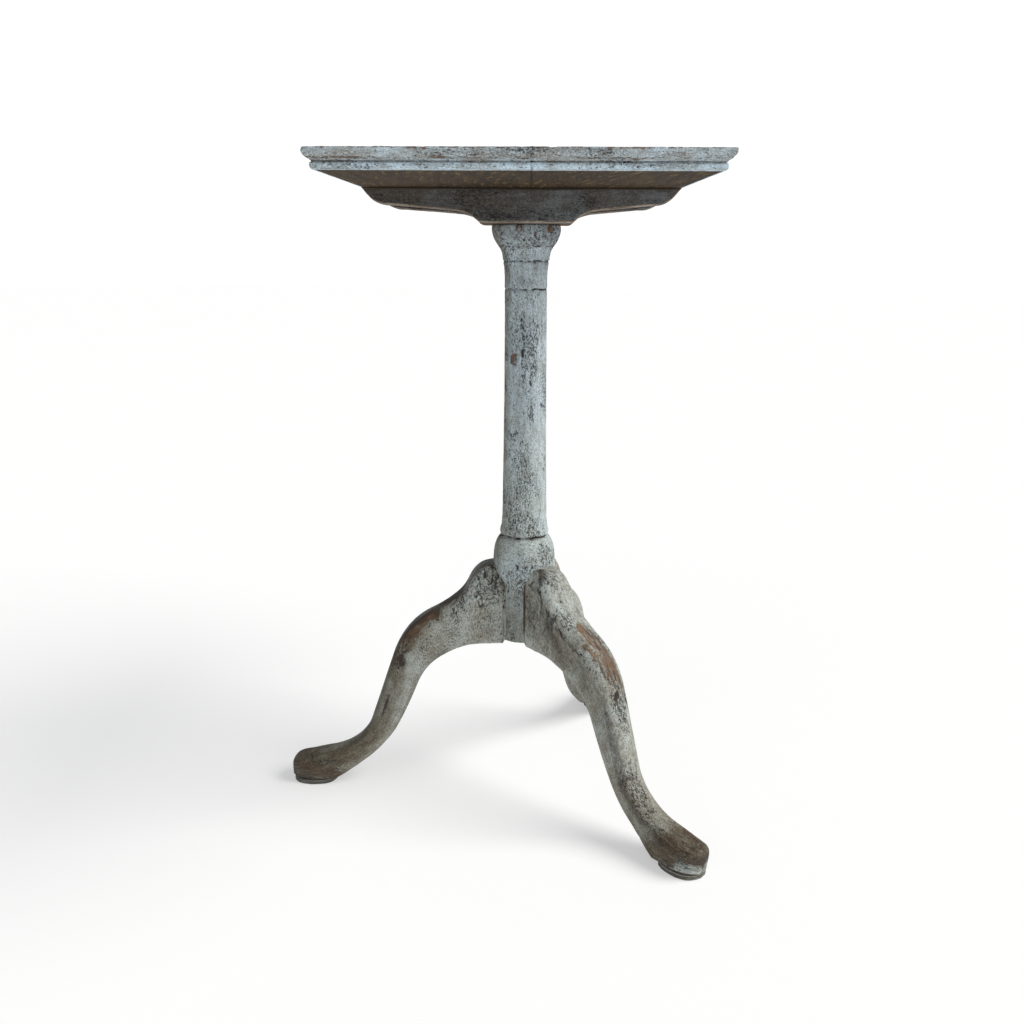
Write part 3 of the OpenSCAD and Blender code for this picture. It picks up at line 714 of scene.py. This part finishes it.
leg_mesh(
    "cabriole_leg_front", "leg_front", FRONT_LEG_ANGLE, 2, 0.5,
    [
        ("dirt_and_shade", 0.45, -0.75, 0.25, 0.4, 0.6),
        ("crackle", 0.55, -0.5, 0.4, 0.6, 1.3),
        ("crackle", 1.2, -1.35, 1.3, 0.13, 1.5),
        ("dirt_and_shade", 1.3, -1.42, 1.5, 0.06, 0.6),
        # painted shade: darkens the upper leg's left side face, away from the light
        ("dirt_and_shade", 1.3, -2.0, 2.0, 0.55, 0.42),
        ("wear_and_highlight", 2.35, -0.25, 0.7, 0.85, 0.42),
        ("wear_and_highlight", 1.95, 0.0, 0.4, 0.6, 0.26),
        ("stain_and_shade", 2.5, 0.0, 0.8, 0.9, 0.35),
        ("wear_and_highlight", 2.7, 0.45, 0.5, 0.35, 0.4),
        ("dirt_and_shade", 3.05, -0.1, 0.1, 0.3, 1.0),
        ("dirt_and_shade", 3.1, 0.7, 0.22, 0.14, 0.8),
        ("crackle", 3.0, -0.1, 0.45, 0.7, 1.5),
        ("crackle", 1.6, -0.6, 0.5, 0.5, 0.9),
        ("crackle", 4.3, 0.0, 0.6, 0.7, 0.7),
        # painted shade: darkens the lower leg's left side face, away from the light
        ("dirt_and_shade", 4.2, -1.3, 1.6, 0.45, 0.5),
        ("crackle", 4.6, -0.9, 0.8, 0.4, 1.3),
        ("crackle", 5.6, -0.7, 0.9, 0.4, 1.3),
        # painted shade: browns the leg's left side face, away from the light
        ("stain_and_shade", 1.4, -1.9, 2.4, 0.85, 0.4),
    ],
    1.0,
)
leg_mesh(
    "cabriole_leg_rear", "leg_rear", REAR_LEG_ANGLE, 3, 0.45,
    [
        ("dirt_and_shade", 1.3, 0.0, 1.0, 1.2, 0.4),
        ("wear_and_highlight", 2.4, 0.1, 0.6, 0.7, 0.44),
        ("crackle", 1.2, -1.3, 0.9, 0.5, 1.1),
        ("crackle", 3.2, 0.4, 0.6, 0.8, 0.9),
    ],
    0.3,
)


# ---- top boards -----------------------------------------------------------------------------

moulding = np.concatenate(
    [
        [[14, 0], [3, 0], [1.2, -0.05], [0.5, -0.3], [0.1, -0.8], [0, -1.4], [0, -3.4], [0.12, -4.4]],
        curve([[0.5, -4.7], [1.2, -7], [3, -9.3], [6, -9.9]], 9),
        [[6.3, -10.2], [6.4, -10.8], [7.2, -11.1], [7.3, -11.6], [6.7, -11.9]],
        curve([[6.1, -12.1], [5.3, -14.5], [6, -TOP_T + 0.3], [8.6, -TOP_T]], 9),
        [[10, -TOP_T], [14, -TOP_T]],
    ]
)
# Inset of the flat faces' grid, and the gap left at the joint between the boards
FLAT_IN, JOINT_GAP = 14, 0.01
OUT_X0, OUT_X1 = left_lo[0], right_hi[0]
OUT_Y0, OUT_Y1 = left_lo[1], left_hi[1]


def board(name, node, x0, x1, joint_on_right, seed):
    nx = int(round((x1 - x0) / 2.6))
    ny = int(round((OUT_Y1 - OUT_Y0) / 2.8))
    ring_ij = (
        [(i, 0) for i in range(nx)]
        + [(nx, j) for j in range(ny)]
        + [(i, ny) for i in range(nx, 0, -1)]
        + [(0, j) for j in range(ny, 0, -1)]
    )

    def place(inset, depth, i, j):
        left = x0 + (inset if joint_on_right else JOINT_GAP)
        right = x1 - (JOINT_GAP if joint_on_right else inset)
        return [
            left + (right - left) * i / nx,
            (OUT_Y0 + inset) + (OUT_Y1 - OUT_Y0 - 2 * inset) * j / ny,
            TABLE_H + depth,
        ]

    verts, level, insets = [], [], []

    def add_grid(inset, depth, flag):
        table = {}
        for j in range(ny + 1):
            for i in range(nx + 1):
                table[(i, j)] = len(verts)
                verts.append(place(inset, depth, i, j))
                level.append(flag)
                insets.append(inset)
        return table

    faces = []
    top = add_grid(FLAT_IN, 0, 0)
    bottom = add_grid(FLAT_IN, -TOP_T, 2)
    for j in range(ny):
        for i in range(nx):
            faces.append((top[i, j], top[i + 1, j], top[i + 1, j + 1], top[i, j + 1]))
            faces.append((bottom[i, j + 1], bottom[i + 1, j + 1], bottom[i + 1, j], bottom[i, j]))
    previous = [top[ij] for ij in ring_ij]
    n = len(ring_ij)
    for inset, depth in moulding[1:-1]:
        ring = []
        for i, j in ring_ij:
            ring.append(len(verts))
            verts.append(place(inset, depth, i, j))
            level.append(1)
            insets.append(inset)
        for k in range(n):
            faces.append((previous[k], ring[k], ring[(k + 1) % n], previous[(k + 1) % n]))
        previous = ring
    last = [bottom[ij] for ij in ring_ij]
    for k in range(n):
        faces.append((previous[k], last[k], last[(k + 1) % n], previous[(k + 1) % n]))
    verts = np.array(verts)
    level = np.array(level)
    normals = normals_of(verts, faces)
    x, y, z = verts.T
    joint_x = x1 if joint_on_right else x0
    from_joint = np.abs(x - joint_x)
    edge = np.minimum.reduce([np.abs(x - OUT_X0), np.abs(x - OUT_X1), y - OUT_Y0, OUT_Y1 - y])
    corner = np.minimum(np.abs(x - OUT_X0), np.abs(x - OUT_X1)) + np.minimum(y - OUT_Y0, OUT_Y1 - y)
    move = -0.12 - 0.1 * fractal(verts * [1, 0.35, 1], 30, seed)
    rim = smooth(-edge, -12, -2)
    move -= rim * (0.22 + 0.22 * fractal(verts, 14, seed + 1) + 0.22 * fractal(verts, 4, seed + 2))
    nick = smooth(fractal(verts, 8, seed + 3), 0.3, 0.7) * rim
    move -= 0.9 * nick
    move -= 1.6 * smooth(-corner, -16, -4) * smooth(fractal(verts, 7, seed + 5) + 0.25, 0.1, 0.7)
    move *= smooth(from_joint, 0.05, 3.0) * 0.9 + 0.1
    verts = verts + normals * move[:, None]
    x, y, z = verts.T

    depth = TABLE_H - z
    side = (level == 1) | (edge < 13)
    end_face = np.minimum(y - OUT_Y0, OUT_Y1 - y) < np.minimum(np.abs(x - OUT_X0), np.abs(x - OUT_X1))
    path = np.where(end_face, x, y)
    on_top = (depth < 0.9) & (edge > 1.2)
    on_bottom = depth > TOP_T - 0.6
    flat = on_top | on_bottom
    grain = np.stack([np.where(flat, x, depth), np.where(flat, depth, edge), np.where(flat, y, path)], -1)
    bead = smooth(depth, 11.6, 12.6)
    worn_edge = np.exp(-(((depth - 1.0) / 1.4) ** 2)) + 0.9 * np.exp(-(((depth - 8.6) / 1.6) ** 2))
    wear_and_highlight = 0.14 + 0.34 * worn_edge * (1 - on_top) + 0.3 * nick
    wear_and_highlight = np.where(on_top, 0.27 + 0.16 * fractal(verts * [1, 0.4, 1], 60, seed + 6), wear_and_highlight)
    # painted shade: a dark line in the groove under the upper moulding, and a darker band where the edge
    # turns under the board
    dirt_and_shade = 0.75 * np.exp(-(((depth - 11.1) / 0.5) ** 2)) * (1 - flat)
    dirt_and_shade = dirt_and_shade + 0.3 * np.exp(-(((depth - TOP_T + 0.5) / 0.8) ** 2)) * (1 - on_bottom)
    dirt_and_shade = dirt_and_shade + 0.35 * np.exp(-((from_joint / 0.7) ** 2))
    tone = np.where(bead > 0.5, 0.9, 0.33 + 0.2 * smooth(-depth, -6, -1))
    tone = np.where(on_top, 0.35, tone)
    cracked = smooth(fractal(verts * [0.5, 0.5, 1], 24, seed + 8), 0.1, 0.6)
    obj = make_object(
        name,
        verts,
        faces,
        {
            "grain": grain * MM,
            "wear_and_highlight": np.clip(wear_and_highlight, 0, 1),
            "dirt_and_shade": np.clip(dirt_and_shade, 0, 0.95),
            "crackle": 0.12 + 0.55 * cracked - 0.1 * bead,
            "tone": tone,
            "stain_and_shade": np.where(on_top, 0.25, 0.0),
        },
    )
    obj.data.materials.append(edge_paint)
    obj.data.materials.append(under_wood)
    mask = on_bottom & ((edge > 9.2) | (level == 2))
    slots = [1 if all(mask[q] for q in f) else 0 for f in faces]
    obj.data.polygons.foreach_set("material_index", slots)
    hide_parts(node)
    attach(obj, "top")
    return obj


board("moulded_board_left", "top_board_left", left_lo[0], left_hi[0], True, 31)
board("moulded_board_right", "top_board_right", right_lo[0], right_hi[0], False, 41)


# ---- bearers --------------------------------------------------------------------------------

CENTRE_H = UNDER_Z - FRONT[0][2]
WING_H = 18.5
CENTRE_W = 96.0


def bearer_line(reach):
    return np.concatenate(
        [
            [[0, -CENTRE_H]],
            curve([[CENTRE_W / 2, -CENTRE_H], [CENTRE_W / 2 + 6, -CENTRE_H + 4.5],
                   [CENTRE_W / 2 + 9, -WING_H - 6], [CENTRE_W / 2 + 30, -WING_H - 3.5]], 16),
            curve([[reach - 30, -WING_H + 1], [reach - 16, -WING_H + 0.5], [reach - 10, -WING_H * 0.73],
                   [reach, 0]], 22, True),
        ]
    )


def bearer(name, node, extent, seed, worn_and_lit_edge):
    reach_right = extent[1][0] - COLUMN_X
    reach_left = COLUMN_X - extent[0][0]
    right = bearer_line(reach_right)
    left = bearer_line(reach_left) * [-1, 1]
    line = resample(np.concatenate([left[::-1], right[1:]]), 2.4)
    y0, y1 = extent[0][1], extent[1][1]
    ease = 1.7
    rings = []
    for x, low in line:
        depth = max(-low, 0.35)
        e = min(ease, depth * 0.45)
        lower = [
            [y0 + e * (1 - math.cos(a)), -depth + e * (1 - math.sin(a))]
            for a in np.linspace(0, math.pi / 2, 6)
        ]
        section = [[y0, d] for d in np.linspace(-0.05, -depth + e, 12)[:-1]] + lower
        section += [[y, -depth] for y in np.linspace(y0 + e, y1 - e, 9)[1:-1]]
        section += [[y1 - (y - y0), d] for y, d in lower[::-1]]
        section += [[y1, d] for d in np.linspace(-depth + e, -0.05, 12)[1:]]
        section += [[y, -0.05] for y in np.linspace(y1, y0, 9)[1:-1]]
        rings.append([[x + COLUMN_X, y, UNDER_Z + d] for y, d in section])
    rings = np.array(rings)
    verts = rings.reshape(-1, 3)
    faces = loft_faces(len(rings), rings.shape[1])
    normals = normals_of(verts, faces)
    if np.sum(normals[:, 2] * (verts[:, 2] - UNDER_Z + 9)) < 0:
        faces = [f[::-1] for f in faces]
        normals = -normals
    x, y, z = verts.T
    away = smooth(UNDER_Z - z, 0.4, 3)
    move = -0.12 - 0.14 * fractal(verts * [0.3, 1, 1], 12, seed) - 0.12 * fractal(verts, 4, seed + 1)
    local_low = np.repeat(-line[:, 1], rings.shape[1])
    from_low = local_low - (UNDER_Z - z)
    lip = smooth(-from_low, -3, -0.4)
    move -= 0.45 * lip * smooth(fractal(verts * [0.6, 1, 1], 9, seed + 2), 0.0, 0.6)
    verts = verts + normals * (move * away)[:, None]
    outer = np.minimum(np.abs(y - y0), np.abs(y - y1))
    # painted highlight: the eased lower edge and the bottom face are made lighter, as worn paint showing pale
    # wood and as light caught by the rounding and thrown up from the floor
    eased_edge_highlight = np.exp(-(((from_low - 0.9) / 0.9) ** 2)) * smooth(-outer, -2.4, -0.4)
    wear_and_highlight = 0.12 + worn_and_lit_edge * eased_edge_highlight + 0.12 * smooth(-from_low, -0.5, 0.2)
    # painted shadow: the first two terms darken a band along the top of the bearer, just under the boards
    dirt_and_shade = 1.1 * np.exp(-(((UNDER_Z - z) / 1.5) ** 2)) + 0.3 * np.exp(-(((UNDER_Z - z) / 5.0) ** 2))
    dirt_and_shade += 0.55 * smooth(fractal(verts * [0.1, 1, 1], 4, seed + 5), 0.2, 0.5)
    # painted light and shade: the bearer is made lighter towards its right end, where the light comes from,
    # and lighter further below the boards
    side = smooth(x, COLUMN_X - 60, COLUMN_X + 120)
    tone = 0.05 + 0.45 * side + 0.25 * smooth(UNDER_Z - z, 18, 30)
    obj = make_object(
        name,
        verts,
        faces,
        {
            "grain": np.stack([y, z, x], -1) * MM,
            "wear_and_highlight": np.clip(wear_and_highlight, 0, 1),
            "dirt_and_shade": np.clip(dirt_and_shade, 0, 0.95),
            "crackle": 0.5 + 0.5 * fractal(verts * [0.4, 1, 1], 20, seed + 7),
            "tone": tone,
            # painted shade: browner towards the left end
            "stain_and_shade": 0.3 * smooth(-x, -(COLUMN_X - 20), -(COLUMN_X - 110)),
        },
    )
    obj.data.materials.append(bearer_paint)
    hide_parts(node)
    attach(obj, "top")
    return obj


bearer("shaped_bearer_front", "bearer_front", FRONT, 51, 0.85)
bearer("shaped_bearer_rear", "bearer_rear", REAR, 61, 0.6)


# ---- carried-over CAD nodes -----------------------------------------------------------------

for node, material, width in (
    ("bearer_screws", iron, 0.15),
    ("pivot_pins", iron, 0.3),
    ("catch_bolt", iron, 0.5),
    ("pivot_block", block_wood, 0.8),
    ("tenon_wedge", wedge_wood, 0.15),
    ("catch_plate", brass, 0.25),
    ("catch_screws", brass, 0.12),
    ("catch_knob", brass, 0.15),
    ("keeper_plate", brass, 0.2),
    ("keeper_screws", brass, 0.1),
):
    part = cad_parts[node]
    part.data.materials.clear()
    part.data.materials.append(material)
    bevel = part.modifiers.new("eased_edges", "BEVEL")
    bevel.width = width * MM
    bevel.segments = 2
    bevel.limit_method = "ANGLE"
    bevel.angle_limit = math.radians(35)


# ---- floor, backdrop, light and camera ------------------------------------------------------


def glow_material(name, albedo, glow):
    material = bpy.data.materials.new(name)
    material.use_nodes = True
    bsdf = material.node_tree.nodes["Principled BSDF"]
    bsdf.inputs["Base Color"].default_value = (albedo, albedo, albedo, 1)
    bsdf.inputs["Roughness"].default_value = 0.9
    bsdf.inputs["Specular IOR Level"].default_value = 0.1
    bsdf.inputs["Emission Color"].default_value = (1, 1, 1, 1)
    bsdf.inputs["Emission Strength"].default_value = glow
    return material


def stage_object(name, verts, faces, material):
    mesh = bpy.data.meshes.new(name)
    mesh.from_pydata(verts, [], faces)
    obj = bpy.data.objects.new(name, mesh)
    bpy.context.scene.collection.objects.link(obj)
    obj.data.materials.append(material)
    return obj


# Radius of the floor and the backdrop in metres, and how many sides and rings they have
REACH = 18.0
FLOOR_SIDES, DOME_SIDES, DOME_RINGS = 96, 48, 16
floor_turn = np.linspace(0, 2 * math.pi, FLOOR_SIDES, endpoint=False)
circle = [(REACH * math.cos(a), REACH * math.sin(a), 0.0) for a in floor_turn]
floor = stage_object("floor", circle, [tuple(range(FLOOR_SIDES))], glow_material("pale_floor", 0.62, 0.42))
floor.location = (0, 0, -0.0002)

dome_v, dome_f = [], []
for lift in np.linspace(0, math.pi / 2 * 0.98, DOME_RINGS):
    across = REACH * math.cos(lift)
    for a in np.linspace(0, 2 * math.pi, DOME_SIDES, endpoint=False):
        dome_v.append((across * math.cos(a), across * math.sin(a), REACH * math.sin(lift)))
for i in range(DOME_RINGS - 1):
    for j in range(DOME_SIDES):
        a, b = i * DOME_SIDES + j, i * DOME_SIDES + (j + 1) % DOME_SIDES
        dome_f.append((a, b, b + DOME_SIDES, a + DOME_SIDES))
dome_f.append(tuple((DOME_RINGS - 1) * DOME_SIDES + j for j in range(DOME_SIDES)))
dome = stage_object("backdrop", dome_v, dome_f, glow_material("white_backdrop", 0.0, 1.05))
for ray in ("diffuse", "glossy", "transmission", "volume_scatter", "shadow"):
    setattr(dome, "visible_" + ray, False)

world = bpy.data.worlds.new("studio")
bpy.context.scene.world = world
world.use_nodes = True
world.node_tree.nodes["Background"].inputs[0].default_value = (0.94, 0.97, 1.0, 1)
world.node_tree.nodes["Background"].inputs[1].default_value = 0.28


def sun(name, azimuth, elevation, strength, angle, color):
    """A soft light. Azimuth 0 comes from the front and 90 from the right, in degrees."""
    data = bpy.data.lights.new(name, "SUN")
    data.energy = strength
    data.angle = math.radians(angle)
    data.color = color
    obj = bpy.data.objects.new(name, data)
    a, e = math.radians(azimuth), math.radians(elevation)
    source = Vector((math.sin(a) * math.cos(e), -math.cos(a) * math.cos(e), math.sin(e)))
    obj.rotation_mode = "QUATERNION"
    obj.rotation_quaternion = source.to_track_quat("Z", "Y")
    bpy.context.scene.collection.objects.link(obj)


sun("key", 80, 42, 3.0, 40, (1.0, 0.985, 0.96))
sun("fill", -20, 25, 0.3, 60, (0.92, 0.96, 1.0))

camera = bpy.data.objects.new("camera", bpy.data.cameras.new("camera"))
bpy.context.scene.collection.objects.link(camera)
camera.data.sensor_width = 36
camera.data.lens = 37.241
camera.data.clip_start, camera.data.clip_end = 0.05, 60
yaw, pitch, roll = math.radians(0.9), 0.2442, math.radians(0.25)
back_off, side_off = 1.205, -0.0145
place = Vector(
    (
        COLUMN_X * MM + side_off * math.cos(yaw) + back_off * math.sin(yaw),
        side_off * math.sin(yaw) - back_off * math.cos(yaw),
        0.6440,
    )
)
forward = Vector((-math.sin(yaw) * math.cos(pitch), math.cos(yaw) * math.cos(pitch), -math.sin(pitch)))
level_right = Vector((math.cos(yaw), math.sin(yaw), 0))
level_up = level_right.cross(forward)
right = math.cos(roll) * level_right + math.sin(roll) * level_up
up = right.cross(forward)
turn = Matrix((right, up, -forward)).transposed().to_4x4()
camera.matrix_world = Matrix.Translation(place) @ turn
bpy.context.scene.camera = camera

bpy.context.scene.view_settings.view_transform = "Standard"
bpy.context.scene.view_settings.look = "None"
